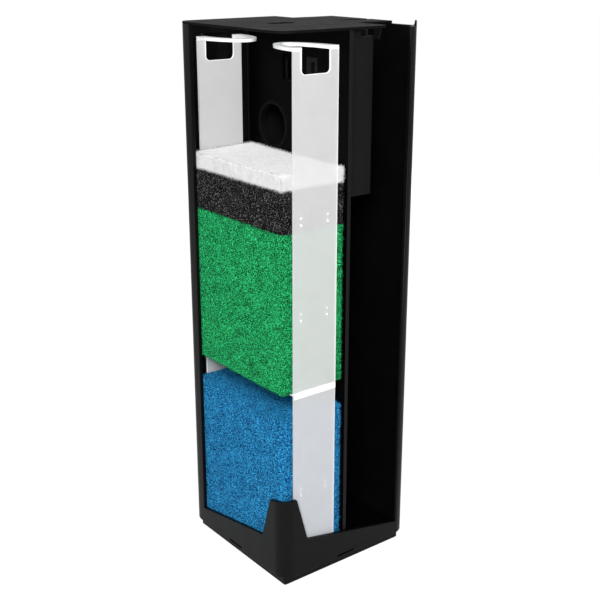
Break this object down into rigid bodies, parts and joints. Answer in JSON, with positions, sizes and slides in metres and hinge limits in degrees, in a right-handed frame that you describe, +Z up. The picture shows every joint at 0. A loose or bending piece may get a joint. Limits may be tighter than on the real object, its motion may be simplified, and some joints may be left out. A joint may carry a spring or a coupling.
{
  "type": "corner aquarium filter",
  "caption": "Tall black corner filter for an aquarium with cut-away walls, flat lid, lift-out carrier of coloured foams, divider and hanging pump box.",
  "frame": {"origin": "under the middle of the case's outline, on the plane that the foot stands on", "axes": "+Z up; -Y the cut-away front; -X the cut-away left side; +Y and +X the walls that face the tank's glass"},
  "size_m": [0.131, 0.132, 0.4319],
  "materials": {
    "case_plastic": "satin black",
    "lid_plastic": "fine grained black",
    "carrier_plastic": "frosted, slightly see-through",
    "white_floss": "dense fibre floss",
    "black_foam": "open-cell foam",
    "green_foam": "open-cell foam",
    "blue_foam": "open-cell foam",
    "pump_plastic": "satin",
    "impeller_plastic": "satin",
    "gate_plastic": "satin",
    "rubber": "matte",
    "ceramic": "ground"
  },
  "bodies": {
    "case": {"case_shell": "case_plastic", "base_plate": "case_plastic", "divider_wall": "case_plastic", "port_grommet": "rubber", "pump_box": "case_plastic"},
    "lid": {"lid": "lid_plastic"},
    "carrier": {"carrier_front_strap": "carrier_plastic", "carrier_rear_strap": "carrier_plastic", "carrier_shelf": "carrier_plastic", "carrier_floor": "carrier_plastic", "white_pad": "white_floss", "black_foam": "black_foam", "green_foam": "green_foam", "blue_foam": "blue_foam"},
    "pump": {"pump_body": "pump_plastic", "pump_cover": "pump_plastic", "cover_seal": "rubber", "impeller_shaft": "ceramic", "shaft_bush_rear": "rubber", "shaft_bush_front": "rubber", "outlet_tail": "pump_plastic", "cable_gland": "rubber", "pump_feet": "rubber"},
    "impeller": {"impeller": "impeller_plastic"},
    "gate": {"flow_gate": "gate_plastic"}
  },
  "joints": [
    {"name": "lid_lift", "type": "slide", "parent": "case", "child": "lid", "axis": [0, 0, 1], "range_m": [0, 0.45]},
    {"name": "carrier_lift", "type": "slide", "parent": "case", "child": "carrier", "axis": [0, 0, 1], "range_m": [0, 0.4275]},
    {"name": "pump_lift", "type": "slide", "parent": "case", "child": "pump", "axis": [0, 0, 1], "range_m": [0, 0.135]},
    {"name": "impeller_spin", "type": "hinge", "parent": "pump", "child": "impeller", "pos_m": [0.01765, -0.016, 0.328], "axis": [0, 1, 0], "continuous": true},
    {"name": "gate_turn", "type": "hinge", "parent": "pump", "child": "gate", "pos_m": [0.01765, 0.015, 0.328], "axis": [0, 1, 0], "range_deg": [0, 45]}
  ],
  "couplings": [
    {"joint": "carrier_lift", "follows": "lid_lift", "ratio": 0.95},
    {"joint": "pump_lift", "follows": "lid_lift", "ratio": 0.3}
  ]
}
